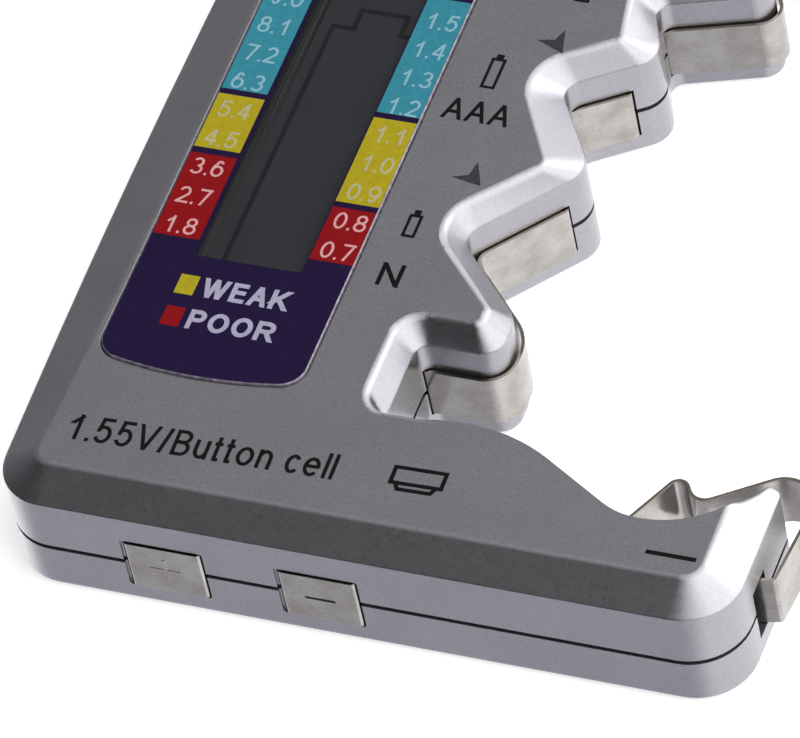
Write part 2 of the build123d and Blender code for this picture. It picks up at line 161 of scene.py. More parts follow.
def blend_colours(tree, mix, low, high):
    """One colour turning into another as mix goes from 0 to 1."""
    node = add(tree, "ShaderNodeMix", data_type="RGBA")
    for socket, value in ((node.inputs[0], mix), (node.inputs[6], low), (node.inputs[7], high)):
        if isinstance(value, bpy.types.NodeSocket):
            tree.links.new(value, socket)
        else:
            socket.default_value = (*value, 1.0)
    return node.outputs[2]


def calculate(tree, operation, first, second):
    """One sum on two values."""
    return add(tree, "ShaderNodeMath", [(0, first), (1, second)], operation=operation).outputs[0]


def bump(tree, height, depth_mm, normal=None):
    """A relief depth_mm deep, on top of another normal if one is given."""
    inputs = [("Height", height), ("Distance", depth_mm * MM)]
    if normal is not None:
        inputs.append(("Normal", normal))
    return add(tree, "ShaderNodeBump", inputs).outputs["Normal"]


def soft_edges(tree, radius_mm):
    """A normal that rounds sharp edges by this radius."""
    return add(tree, "ShaderNodeBevel", [("Radius", radius_mm * MM)], samples=4).outputs["Normal"]


# ------------------------------------------------------------------- materials

# The case's moulded creases are soft along the bevel, and crisp on the walls and the flat face
CREASE_FOOT_Z = (9.4, 10.6)
CREASE_TOP_Z = (11.5, 11.8)
SOFT_CREASE = 0.4
CRISP_CREASE = 0.06

# Where the strips' bare upper edges start
STRIP_TOP_Z = (6.9, 7.1)


def silver_paint():
    """Metallic paint on moulded plastic: fine grain, a slight orange peel and softened creases."""
    material, tree, shader = new_material("silver_paint")
    grain = noise(tree, 0.3, 2.0)
    cloud = noise(tree, 6.0, 2.0)
    flakes = share(tree, grain, 0.3, 0.7)
    tone = blend_colours(tree, flakes, (0.335, 0.331, 0.358), (0.372, 0.367, 0.398))
    patch = blend_colours(tree, share(tree, cloud, 0.35, 0.65), (0.95, 0.95, 0.95), (1.0, 1.0, 1.0))
    mixed = add(tree, "ShaderNodeMix", data_type="RGBA", blend_type="MULTIPLY")
    mixed.inputs[0].default_value = 1.0
    tree.links.new(tone, mixed.inputs[6])
    tree.links.new(patch, mixed.inputs[7])
    tree.links.new(mixed.outputs[2], shader.inputs["Base Color"])
    shader.inputs["Metallic"].default_value = 0.94
    tree.links.new(span(tree, grain, 0.3, 0.7, 0.27, 0.31), shader.inputs["Roughness"])
    shader.inputs["Coat Weight"].default_value = 0.2
    shader.inputs["Coat Roughness"].default_value = 0.15
    height = add(tree, "ShaderNodeSeparateXYZ", [(0, place(tree))]).outputs["Z"]
    foot, top = [[z * MM for z in zone] for zone in (CREASE_FOOT_Z, CREASE_TOP_Z)]
    below_face = span(tree, height, *top, 1.0, 0.0)
    slope = calculate(tree, "MULTIPLY", share(tree, height, *foot), below_face)
    rounding = span(tree, slope, 0.0, 1.0, CRISP_CREASE * MM, SOFT_CREASE * MM)
    creases = add(tree, "ShaderNodeBevel", [("Radius", rounding)], samples=8).outputs["Normal"]
    tree.links.new(bump(tree, noise(tree, 1.3, 1.0), 0.006, creases), shader.inputs["Normal"])
    return material


def nickel():
    """Nickel-plated spring sheet: warm and satin, stained and scratched, with a darker cut edge."""
    material, tree, shader = new_material("nickel")
    stain = noise(tree, 2.4, 4.0)
    speck = noise(tree, 0.3, 3.0)
    scratch = noise(tree, 0.9, 3.0, stretch=(1, 1, 9))
    stained = share(tree, stain, 0.35, 0.65)
    plate = blend_colours(tree, stained, (0.43, 0.415, 0.398), (0.335, 0.312, 0.288))
    spotted = blend_colours(tree, span(tree, speck, 0.62, 0.72, 0.0, 0.7), plate, (0.30, 0.25, 0.20))
    rubbed = blend_colours(tree, span(tree, scratch, 0.60, 0.75, 0.0, 0.6), spotted, (0.58, 0.57, 0.56))
    normal = add(tree, "ShaderNodeTexCoord").outputs["Normal"]
    upward = add(tree, "ShaderNodeSeparateXYZ", [(0, normal)]).outputs["Z"]
    height = add(tree, "ShaderNodeSeparateXYZ", [(0, place(tree))]).outputs["Z"]
    top = share(tree, height, *[z * MM for z in STRIP_TOP_Z])
    edge = calculate(tree, "MULTIPLY", top, share(tree, upward, 0.6, 0.9))
    tree.links.new(blend_colours(tree, edge, rubbed, (0.36, 0.32, 0.27)), shader.inputs["Base Color"])
    shader.inputs["Metallic"].default_value = 1.0
    worn = calculate(tree, "MULTIPLY", scratch, stain)
    tree.links.new(span(tree, worn, 0.15, 0.45, 0.13, 0.3), shader.inputs["Roughness"])
    ripple = bump(tree, noise(tree, 1.6, 1.0), 0.012, soft_edges(tree, 0.08))
    tree.links.new(bump(tree, scratch, 0.005, ripple), shader.inputs["Normal"])
    return material


def printed_ink(name, colour):
    """Ink behind clear plastic, slightly uneven."""
    material, tree, shader = new_material(name)
    cover = share(tree, noise(tree, 0.5, 3.0), 0.3, 0.7)
    darker = tuple(0.86 * part for part in colour)
    tree.links.new(blend_colours(tree, cover, darker, colour), shader.inputs["Base Color"])
    tree.links.new(span(tree, cover, 0.0, 1.0, 0.4, 0.5), shader.inputs["Roughness"])
    shader.inputs["Specular IOR Level"].default_value = 0.0
    shader.inputs["Coat Weight"].default_value = 0.35
    shader.inputs["Coat Roughness"].default_value = 0.06
    return material


def case_ink(name, colour):
    """Pad print on the paint, with the paint's grain showing in its shine."""
    material, tree, shader = new_material(name)
    grain = noise(tree, 0.3, 2.0)
    paler = tuple(1.6 * part for part in colour)
    tone = blend_colours(tree, share(tree, grain, 0.3, 0.7), colour, paler)
    tree.links.new(tone, shader.inputs["Base Color"])
    tree.links.new(span(tree, grain, 0.3, 0.7, 0.38, 0.5), shader.inputs["Roughness"])
    shader.inputs["Specular IOR Level"].default_value = 0.08
    return material


def clear_rim():
    """The clear plate's cut edge: smoky, glossy, nicked here and there."""
    material, tree, shader = new_material("clear_rim")
    nicks = share(tree, noise(tree, 0.5, 4.0), 0.4, 0.7)
    tone = blend_colours(tree, nicks, (0.14, 0.125, 0.16), (0.30, 0.28, 0.33))
    tree.links.new(tone, shader.inputs["Base Color"])
    tree.links.new(span(tree, nicks, 0.0, 1.0, 0.15, 0.3), shader.inputs["Roughness"])
    return material


def clear_pane():
    """Clear gloss plastic: it shows what is behind, and mirrors a little, more at a low angle."""
    material, tree, shader = new_material("clear_pane")
    haze = noise(tree, 5.0, 3.0)
    tone = blend_colours(tree, haze, (0.75, 0.76, 0.80), (0.9, 0.9, 0.92))
    tree.links.new(tone, shader.inputs["Base Color"])
    shader.inputs["Metallic"].default_value = 1.0
    tree.links.new(span(tree, haze, 0.3, 0.7, 0.04, 0.1), shader.inputs["Roughness"])
    through = add(tree, "ShaderNodeBsdfTransparent", [("Color", (0.96, 0.97, 0.97, 1.0))])
    slant = add(tree, "ShaderNodeLayerWeight", [("Blend", 0.5)]).outputs["Facing"]
    mirrored = span(tree, calculate(tree, "POWER", slant, 5.0), 0.0, 1.0, 0.012, 0.6)
    layers = [(0, mirrored), (1, through.outputs[0]), (2, shader.outputs[0])]
    mixed = add(tree, "ShaderNodeMixShader", layers)
    tree.links.new(mixed.outputs[0], tree.nodes["Material Output"].inputs["Surface"])
    return material


def display_film():
    """The polariser over an idle liquid-crystal cell: dark, slightly blue, with a fine cloud."""
    material, tree, shader = new_material("display_film")
    cloud = share(tree, noise(tree, 9.0, 3.0), 0.35, 0.65)
    tone = blend_colours(tree, cloud, (0.0185, 0.0195, 0.0235), (0.0215, 0.0225, 0.0265))
    tree.links.new(tone, shader.inputs["Base Color"])
    tree.links.new(span(tree, noise(tree, 0.3, 2.0), 0.3, 0.7, 0.34, 0.46), shader.inputs["Roughness"])
    shader.inputs["Specular IOR Level"].default_value = 0.2
    return material


def display_glass():
    """The cell's glass ledge, with the fine tracks that lead to its contacts."""
    material, tree, shader = new_material("display_glass")
    tracks = noise(tree, 0.7, 2.0, stretch=(4, 0.02, 1))
    drawn = share(tree, tracks, 0.42, 0.6)
    tone = blend_colours(tree, drawn, (0.014, 0.0145, 0.0145), (0.034, 0.0345, 0.033))
    tree.links.new(tone, shader.inputs["Base Color"])
    tree.links.new(span(tree, tracks, 0.4, 0.6, 0.1, 0.25), shader.inputs["Roughness"])
    shader.inputs["Specular IOR Level"].default_value = 0.2
    return material


def display_segment():
    """A segment of the display, a little darker than the film round it."""
    material, tree, shader = new_material("display_segment")
    cloud = share(tree, noise(tree, 3.0, 2.0), 0.35, 0.65)
    tone = blend_colours(tree, cloud, (0.006, 0.0063, 0.007), (0.009, 0.0093, 0.010))
    tree.links.new(tone, shader.inputs["Base Color"])
    shader.inputs["Roughness"].default_value = 0.45
    shader.inputs["Specular IOR Level"].default_value = 0.1
    return material


def plain_part(name, colour, roughness, grain_mm=0.4, metallic=0.0, relief_mm=0.01):
    """A simple grained surface for the pieces inside the case."""
    material, tree, shader = new_material(name)
    grain = share(tree, noise(tree, grain_mm, 3.0), 0.3, 0.7)
    darker = tuple(0.75 * part for part in colour)
    tree.links.new(blend_colours(tree, grain, darker, colour), shader.inputs["Base Color"])
    tree.links.new(span(tree, grain, 0.0, 1.0, roughness * 0.8, roughness), shader.inputs["Roughness"])
    shader.inputs["Metallic"].default_value = metallic
    tree.links.new(bump(tree, grain, relief_mm), shader.inputs["Normal"])
    return material


def circuit_board():
    """Green solder mask with lighter copper tracks under it."""
    material, tree, shader = new_material("circuit_board")
    pattern = [("Vector", place(tree)), ("Scale", 180.0), ("Mortar Size", 0.03)]
    tracks = add(tree, "ShaderNodeTexBrick", pattern).outputs["Fac"]
    mask = blend_colours(tree, tracks, (0.012, 0.10, 0.035), (0.03, 0.20, 0.07))
    tree.links.new(mask, shader.inputs["Base Color"])
    shader.inputs["Roughness"].default_value = 0.35
    tree.links.new(bump(tree, tracks, 0.02), shader.inputs["Normal"])
    return material


# ----------------------------------------------------------------- flat shapes

def case_point(x, y, z):
    """A place given in millimetres from the case's front left corner."""
    return CASE_CORNER + Vector((x, y, z)) * MM


def rectangle(left, low, right, high):
    """Four corners, in turn."""
    return [(left, low), (right, low), (right, high), (left, high)]


def arc(centre, radius, start, end, steps=12):
    """Points along an arc, with angles in degrees."""
    points = []
    for step in range(steps + 1):
        angle = math.radians(start + (end - start) * step / steps)
        points.append((centre[0] + radius * math.cos(angle), centre[1] + radius * math.sin(angle)))
    return points


def rounded(left, low, right, high, radius):
    """A rectangle with round corners."""
    corners = [(right - radius, high - radius), (left + radius, high - radius)]
    corners += [(left + radius, low + radius), (right - radius, low + radius)]
    points = []
    for index, corner in enumerate(corners):
        points += arc(corner, radius, 90 * index, 90 * index + 90, 5)
    return points


def turned(points, degrees, centre):
    """Points turned about a centre."""
    spin = Matrix.Rotation(math.radians(degrees), 2)
    middle = Vector(centre)
    return [tuple(middle + spin @ (Vector(point) - middle)) for point in points]


def flat_mesh(loops, low_z, high_z):
    """A flat shape with thickness, in millimetres on the case. A loop inside another is a hole."""
    curve = bpy.data.curves.new("outline", "CURVE")
    curve.dimensions = "2D"
    curve.fill_mode = "BOTH"
    curve.extrude = (high_z - low_z) / 2 * MM
    for loop in loops:
        spline = curve.splines.new("POLY")
        spline.points.add(len(loop) - 1)
        for point, (x, y) in zip(spline.points, loop):
            point.co = (*case_point(x, y, 0).xy, 0, 1)
        spline.use_cyclic_u = True
    return curve_to_mesh(curve, (0, 0, CASE_CORNER.z + (low_z + high_z) / 2 * MM))


def curve_to_mesh(curve, move):
    """The mesh that a curve shows, moved into place."""
    holder = bpy.data.objects.new("holder", curve)
    bpy.context.scene.collection.objects.link(holder)
    bpy.context.view_layer.update()
    shown = holder.evaluated_get(bpy.context.evaluated_depsgraph_get())
    mesh = bpy.data.meshes.new_from_object(shown)
    bpy.data.objects.remove(holder)
    bpy.data.curves.remove(curve)
    mesh.transform(Matrix.Translation(move))
    return mesh


def piece(name, meshes, material, replaced=()):
    """Joins meshes into one named piece that rides on the case."""
    work = bmesh.new()
    for mesh in meshes:
        work.from_mesh(mesh)
        bpy.data.meshes.remove(mesh)
    joined = bpy.data.meshes.new(name)
    work.to_mesh(joined)
    work.free()
    joined.materials.clear()
    joined.materials.append(material)
    for polygon in joined.polygons:
        polygon.material_index = 0
    made = bpy.data.objects.new(name, joined)
    bpy.context.scene.collection.objects.link(made)
    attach(made, "case")
    if replaced:
        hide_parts(*replaced)


# ------------------------------------------------------------------- lettering

ARC_STEP = 10


def oval(x, y, reach_x, reach_y, start=0, end=360):
    """Points along an ellipse, with angles in degrees."""
    steps = abs(end - start) // ARC_STEP
    angles = [math.radians(start + (end - start) * step / steps) for step in range(steps + 1)]
    return [(x + reach_x * math.cos(angle), y + reach_y * math.sin(angle)) for angle in angles]


def upside_down(strokes):
    """A sign turned half round, in its box one wide and one high."""
    return [[(1 - x, 1 - y) for x, y in stroke] for stroke in strokes]


STEM = [(0, 0), (0, 1)]
SIX_TAIL = [*oval(0.54, 0.5, 0.42, 0.5, 45, 125), *oval(0.7, 0.32, 0.7, 0.6, 125, 180)]
SIX = [oval(0.5, 0.32, 0.5, 0.32), SIX_TAIL]
BOWL = [(0, 1), *oval(0.58, 0.74, 0.42, 0.26, 90, -90), (0, 0.48)]
SHORT_ARCH = [*oval(0.5, 0.4, 0.5, 0.3, 170, 0), (1, 0)]

# Each sign: its width as a share of capital height, and its strokes in a box one wide, one high
SIGNS = {
    "0": (0.58, [oval(0.5, 0.5, 0.5, 0.5)]),
    "1": (0.58, [[(0.66, 0), (0.66, 1)], [(0.64, 0.92), (0.22, 0.7)]]),
    "2": (0.58, [[*oval(0.49, 0.71, 0.46, 0.29, 165, -35), (0.04, 0.04)], [(0, 0), (1, 0)]]),
    "3": (0.58, [oval(0.47, 0.755, 0.43, 0.245, 155, -90), oval(0.48, 0.26, 0.5, 0.26, 90, -155)]),
    "4": (0.58, [[(0.74, 0), (0.74, 1)], [(0.66, 0.96), (0.02, 0.34)], [(0, 0.28), (1, 0.28)]]),
    "5": (0.58, [[(0.2, 1), (0.92, 1)], [(0.22, 1), (0.1, 0.5)],
                 oval(0.48, 0.33, 0.5, 0.33, 140, -155)]),
    "6": (0.58, SIX),
    "7": (0.58, [[(0, 1), (1, 1)], [(0.92, 0.97), (0.36, 0)]]),
    "8": (0.58, [oval(0.5, 0.765, 0.42, 0.235), oval(0.5, 0.265, 0.5, 0.265)]),
    "9": (0.58, upside_down(SIX)),
    ".": (0.12, [[(0.5, -0.01), (0.5, 0.01)]]),
    "/": (0.3, [[(0, 0), (1, 1)]]),
    " ": (0.2, []),
    "A": (0.7, [[(0, 0), (0.47, 1)], [(1, 0), (0.53, 1)], [(0.25, 0.33), (0.75, 0.33)]]),
    "B": (0.6, [STEM, [(0, 1), *oval(0.5, 0.77, 0.42, 0.23, 90, -90), (0, 0.54)],
                [(0, 0.52), *oval(0.54, 0.26, 0.46, 0.26, 90, -90), (0, 0)]]),
    "D": (0.68, [STEM, [(0, 1), *oval(0.42, 0.5, 0.58, 0.5, 90, -90), (0, 0)]]),
    "E": (0.6, [STEM, [(0, 1), (1, 1)], [(0, 0.53), (0.92, 0.53)], [(0, 0), (1, 0)]]),
    "G": (0.74, [oval(0.5, 0.5, 0.5, 0.5, 45, 325), [(0.96, 0.12), (0.96, 0.44)],
                 [(0.98, 0.46), (0.56, 0.46)]]),
    "K": (0.7, [STEM, [(0.92, 1), (0.04, 0.32)], [(0.36, 0.58), (1, 0)]]),
    "N": (0.7, [STEM, [(1, 0), (1, 1)], [(0.04, 1), (0.96, 0)]]),
    "O": (0.76, [oval(0.5, 0.5, 0.5, 0.5)]),
    "P": (0.64, [STEM, BOWL]),
    "R": (0.7, [STEM, BOWL, [(0.55, 0.5), (1, 0)]]),
    "V": (0.7, [[(0, 1), (0.47, 0)], [(1, 1), (0.53, 0)]]),
    "W": (1.0, [[(0, 1), (0.24, 0)], [(0.48, 1), (0.28, 0)],
                [(0.52, 1), (0.72, 0)], [(1, 1), (0.76, 0)]]),
    "c": (0.48, [oval(0.54, 0.35, 0.54, 0.35, 40, 320)]),
    "e": (0.56, [[(0.06, 0.37), (0.94, 0.37)], oval(0.5, 0.35, 0.5, 0.35, 0, 320)]),
    "l": (0.12, [STEM]),
    "n": (0.5, [[(0, 0), (0, 0.7)], SHORT_ARCH]),
    "o": (0.58, [oval(0.5, 0.35, 0.5, 0.35)]),
    "t": (0.28, [[(0.42, 0.94), (0.42, 0.08)], [(0.5, 0), (0.95, 0)], [(0, 0.7), (0.95, 0.7)]]),
    "u": (0.5, [[(1, 0), (1, 0.7)], [(1 - x, 0.7 - y) for x, y in SHORT_ARCH]]),
}
SIGN_GAP = 0.13
# How many strokes in turn get heights of their own
LAYERS = 5


def pen_ends(points, width):
    """Where a pen stroke starts, and half its cut there: level if steep, upright if flat."""
    start, following = Vector(points[0]), Vector(points[1])
    way = (start - following).normalized()
    if len(points) > 2 and (start - following).length < width:
        return start, Vector((way.y, -way.x)) * width / 2
    if abs(way.y) > abs(way.x):
        return start + way * width / 2 / abs(way.y), Vector((math.copysign(width / 2 / way.y, way.y), 0))
    return start + way * width / 2, Vector((way.y, -way.x)) * width / 2


def stroke_sides(points, width):
    """The left and right side of a pen stroke along a line, with its corners mitred."""
    line = [Vector(point) for point in points]
    ways = [(after - before).normalized() for before, after in zip(line, line[1:])]
    closed = (line[0] - line[-1]).length < HAIR
    arriving = [ways[-1] if closed else ways[0], *ways]
    leaving = [*ways, ways[0] if closed else ways[-1]]
    sides = []
    for point, before, after in zip(line, arriving, leaving):
        across = Vector((-before.y - after.y, before.x + after.x)).normalized()
        reach = across * (width / 2 / across.dot(Vector((-after.y, after.x))))
        sides.append((point + reach, point - reach))
    if not closed:
        for index, (end, half) in ((0, pen_ends(line, width)), (-1, pen_ends(line[::-1], width))):
            way = ways[index]
            if half.dot(Vector((-way.y, way.x))) < 0:
                half = -half
            sides[index] = (end + half, end - half)
    return sides


def add_stroke(work, points, width, low_z, high_z):
    """Adds one pen stroke to a bmesh as a thin solid. Sizes are in millimetres on the case."""
    sides = stroke_sides(points, width)
    closed = (sides[0][0] - sides[-1][0]).length < HAIR
    if closed:
        sides.pop()
    rings = []
    for left, right in sides:
        corners = [(left, high_z), (right, high_z), (right, low_z), (left, low_z)]
        rings.append([work.verts.new(case_point(*corner, z)) for corner, z in corners])
    following_rings = rings[1:] + rings[:1] if closed else rings[1:]
    for before, after in zip(rings, following_rings):
        for index in range(4):
            beside = (index + 1) % 4
            work.faces.new((before[index], before[beside], after[beside], after[index]))
    if not closed:
        work.faces.new(reversed(rings[0]))
        work.faces.new(rings[-1])


def strokes_mesh(strokes, width, low_z, high_z):
    """Pen strokes as one mesh. Strokes that cross differ by a hair in height, to stay clean."""
    work = bmesh.new()
    for index, points in enumerate(strokes):
        add_stroke(work, points, width, low_z, high_z - index % LAYERS * HAIR)
    bmesh.ops.recalc_face_normals(work, faces=work.faces[:])
    mesh = bpy.data.meshes.new("strokes")
    work.to_mesh(mesh)
    work.free()
    return mesh


def lettering(words, centre, size, width, degrees=0.0):
    """The strokes of some words, fitted into a width and height about their centre."""
    length, height = size
    natural = sum(SIGNS[sign][0] + SIGN_GAP for sign in words) - SIGN_GAP
    scale = length / natural
    pen_x = centre[0] - length / 2
    low = centre[1] - height / 2 + width / 2
    rise = height - width
    strokes = []
    for sign in words:
        sign_width, lines = SIGNS[sign]
        reach = max(0.0, sign_width * scale - width)
        for line in lines:
            placed = [(pen_x + width / 2 + x * reach, low + y * rise) for x, y in line]
            strokes.append(turned(placed, degrees, centre))
        pen_x += (sign_width + SIGN_GAP) * scale
    return strokes


# --------------------------------------------------------------- printed plate

def plate_millimetres():
    """The plate's left, low, right and high, and its underside and top, on the case."""
    low = (PLATE_LOW - CASE_CORNER) / MM
    high = (PLATE_HIGH - CASE_CORNER) / MM
    return low.x, low.y, high.x, high.y, low.z, high.z


def plate_outline(inset):
    """The plate's bowed and rounded outline, moved inwards."""
    left, low, right, high, _, _ = plate_millimetres()
    half = (right - left) / 2
    bow_radius = (half ** 2 + PLATE_BULGE ** 2) / (2 * PLATE_BULGE)
    middle = (left + right) / 2
    reach = half - PLATE_RADIUS
    rise = math.sqrt((bow_radius - PLATE_RADIUS) ** 2 - reach ** 2)
    tilt = math.degrees(math.atan2(rise, reach))
    low_centre = low + bow_radius
    high_centre = high - bow_radius
    corner = PLATE_RADIUS - inset
    bow = bow_radius - inset
    points = arc((middle, low_centre), bow, 180 + tilt, 360 - tilt, 20)
    points += arc((middle + reach, low_centre - rise), corner, -tilt, 0)
    points += arc((middle + reach, high_centre + rise), corner, 0, tilt)
    points += arc((middle, high_centre), bow, tilt, 180 - tilt, 20)
    points += arc((middle - reach, high_centre + rise), corner, 180 - tilt, 180)
    points += arc((middle - reach, low_centre - rise), corner, 180, 180 + tilt)
    return points


def rim_mesh(low_z, top_z):
    """The plate's edge: an upright wall with a small chamfer round its top."""
    sections = [(0.0, low_z), (0.0, top_z - RIM_WIDTH), (RIM_WIDTH, top_z), (RIM_WIDTH, low_z)]
    work = bmesh.new()
    loops = []
    for inset, z in sections:
        loops.append([work.verts.new(case_point(x, y, z)) for x, y in plate_outline(inset)])
    for loop, inner in zip(loops, loops[1:] + loops[:1]):
        for index, corner in enumerate(loop):
            before = index - 1
            work.faces.new((loop[before], corner, inner[index], inner[before]))
    bmesh.ops.recalc_face_normals(work, faces=work.faces[:])
    mesh = bpy.data.meshes.new("rim")
    work.to_mesh(mesh)
    work.free()
    return mesh


def printed_plate():
    """The plate: its clear cut edge, its purple print with an opening, and the window in it."""
    low_z, top_z = plate_millimetres()[4:]
    print_z = top_z - INK_THICKNESS
    window = rounded(*WINDOW, WINDOW_RADIUS)
    piece("scale_plate_rim", [rim_mesh(low_z, top_z)], clear_rim())
    ground = flat_mesh([plate_outline(RIM_WIDTH), window], low_z, print_z)
    ink = printed_ink("purple_ink", PURPLE)
    piece("scale_plate_print", [ground], ink, ["scale_plate"])
    pane = flat_mesh([window], print_z - PANE_THICKNESS, print_z)
    piece("scale_plate_window", [pane], clear_pane())


def colour_bands():
    """The coloured bands beside the window and the legend's squares, one piece for each ink.

    They are sunk in the purple print, and stand half the ink's thickness above it.
    """
    top_z = plate_millimetres()[5] - INK_THICKNESS / 2
    low_z = top_z - INK_THICKNESS
    for colour, (left_y, right_y) in BANDS_Y.items():
        shapes = [
            rectangle(LEFT_BANDS_X[0], left_y[0], LEFT_BANDS_X[1], left_y[1]),
            rectangle(RIGHT_BANDS_X[0], right_y[0], RIGHT_BANDS_X[1], right_y[1]),
        ]
        for square_colour, _, y in LEGEND:
            if square_colour == colour:
                left, right = LEGEND_SQUARE
                shapes.append(rectangle(left, y - LEGEND_HEIGHT / 2, right, y + LEGEND_HEIGHT / 2))
        meshes = [flat_mesh([shape], low_z, top_z) for shape in shapes]
        piece(f"{colour}_bands", meshes, printed_ink(f"{colour}_ink", INKS[colour]))


def numbers_on(colour):
    """The pen strokes of the numbers that stand on one colour's bands."""
    strokes = []
    columns = ((LEFT_NUMBERS, LEFT_NUMBERS_X), (RIGHT_NUMBERS, RIGHT_NUMBERS_X))
    for (low, high), (numbers, x) in zip(BANDS_Y[colour], columns):
        for index, number in enumerate(numbers):
            y = NUMBER_LOW_Y + index * NUMBER_PITCH
            if low < y < high:
                strokes += lettering(number, (x, y), NUMBER_SIZE, NUMBER_STROKE)
    return strokes


def scale_lettering():
    """The numbers on the bands, the two headings and the words of the legend."""
    top_z = plate_millimetres()[5]
    low_z = top_z - INK_THICKNESS
    for colour in BANDS_Y:
        mesh = strokes_mesh(numbers_on(colour), NUMBER_STROKE, low_z, top_z)
        ink = printed_ink(f"{colour}_number_ink", NUMBER_INKS[colour])
        piece(f"{colour}_numbers", [mesh], ink)
    headings = []
    for words, x, length in HEADINGS:
        headings += lettering(words, (x, HEADINGS_Y), (length, NUMBER_SIZE[1]), NUMBER_STROKE)
    left, right = LEGEND_WORD_X
    size = (right - left, LEGEND_HEIGHT)
    legend = []
    for _, word, y in LEGEND:
        legend += lettering(word, ((left + right) / 2, y), size, LEGEND_STROKE)
    meshes = [
        strokes_mesh(headings, NUMBER_STROKE, low_z, top_z),
        strokes_mesh(legend, LEGEND_STROKE, low_z, top_z),
    ]
    ink = printed_ink("white_ink", NUMBER_INKS["purple"])
    piece("scale_lettering", meshes, ink)


# ---------------------------------------------------------- prints on the case

SIGN_LINE = 0.26
BUTTON_LINE = 0.36
MINUS_LINE = 0.4
BUTTON_TURN = 1.4
CELL_ICONS = [
    # left, low, right, shoulder and top
    (25.4, 31.75, 26.58, 34.2, 34.7),
    (26.35, 48.6, 27.65, 51.95, 52.4),
    (30.95, 59.4, 32.25, 63.4, 63.9),
]
ARROWS = [
    # left, notch, top and tip
    [(27.4, 38.75), (28.7, 39.2), (29.03, 40.7), (30.1, 38.25)],
    [(29.4, 54.6), (30.83, 54.9), (31.35, 56.15), (31.95, 53.55)],
    [(34.6, 66.3), (36.0, 66.8), (36.3, 68.2), (37.4, 65.8)],
    [(45.3, 79.4), (46.7, 79.9), (47.0, 81.3), (48.1, 78.9)],
]
BUTTON_SIGN = (35.5, 7.5)
MINUS_SIGN = [(55.85, 4.7), (59.65, 4.7)]
CASE_WORDS = [
    # words, centre, size, stroke and turn in degrees
    ("N", (26.03, 27.6), (1.95, 2.42), 0.38, 0.0),
    ("AAA", (27.12, 45.95), (5.75, 2.3), 0.33, 0.0),
    ("AA", (31.6, 67.1), (3.6, 2.3), 0.33, 0.0),
    ("D", (42.2, 80.1), (1.8, 2.3), 0.33, 0.0),
    ("1.55V/Button cell", (17.12, 7.2), (22.95, 2.62), 0.33, BUTTON_TURN),
]


def frame_stroke(left, low, right, high, line):
    """A closed line just inside a rectangle."""
    half = line / 2
    corners = rectangle(left + half, low + half, right - half, high - half)
    return [*corners, corners[0]]


def button_sign():
    """A button cell from the side: a wide outline on a narrow one with leaning ends."""
    x, y = BUTTON_SIGN
    wide = frame_stroke(x - 2.32, y - 0.62, x + 2.32, y + 1.32, BUTTON_LINE)
    narrow = [(x - 1.62, y - 0.62), (x - 1.4, y - 1.05)]
    narrow += [(x + 1.4, y - 1.05), (x + 1.62, y - 0.62)]
    return [turned(line, BUTTON_TURN, BUTTON_SIGN) for line in (wide, narrow)]


def case_prints():
    """The grey arrows and the black signs printed on the silver face."""
    low_z = FACE_Z - INK_THICKNESS
    high_z = FACE_Z + INK_THICKNESS
    arrows = [flat_mesh([points], low_z, high_z) for points in ARROWS]
    piece("case_arrows", arrows, case_ink("grey_ink", GREY_INK))
    meshes = []
    for left, low, right, shoulder, top in CELL_ICONS:
        body = frame_stroke(left, low, right, shoulder, SIGN_LINE)
        inset = (right - left) / 4
        cap = rectangle(left + inset, shoulder - SIGN_LINE / 2, right - inset, top)
        meshes.append(strokes_mesh([body], SIGN_LINE, low_z, high_z))
        meshes.append(flat_mesh([cap], low_z, high_z - HAIR))
    meshes.append(strokes_mesh(button_sign(), BUTTON_LINE, low_z, high_z))
    meshes.append(strokes_mesh([MINUS_SIGN], MINUS_LINE, low_z, high_z))
    for words, centre, size, stroke, degrees in CASE_WORDS:
        strokes = lettering(words, centre, size, stroke, degrees)
        meshes.append(strokes_mesh(strokes, stroke, low_z, high_z))
    piece("case_prints", meshes, case_ink("black_ink", BLACK_INK))


# --------------------------------------------------------------------- display

OUTLINE_WIDTH = 0.42
OUTLINE = [
    (11.7, 25.5),
    (11.7, 53.05),
    (13.55, 53.05),
    (13.55, 55.2),
    (17.7, 55.2),
    (17.7, 53.05),
    (19.4, 53.05),
    (19.4, 25.5),
    (11.7, 25.5),
]


def display_outline():
    """The cell shape that the display shows faintly: a tall outline with a nub on top."""
    top = (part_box("display_front_film")[1].z - CASE_CORNER.z) / MM
    mesh = strokes_mesh([OUTLINE], OUTLINE_WIDTH, top, top + INK_THICKNESS)
    piece("display_outline", [mesh], display_segment())


# ---------------------------------------------------------- CAD node materials

NICKEL_NODES = [
    "n_and_button_strip",
    "aaa_strip",
    "aa_c_d_strip",
    "minus_spring",
    "button_cell_spring",
    "nine_volt_plus_pad",
    "nine_volt_minus_pad",
]


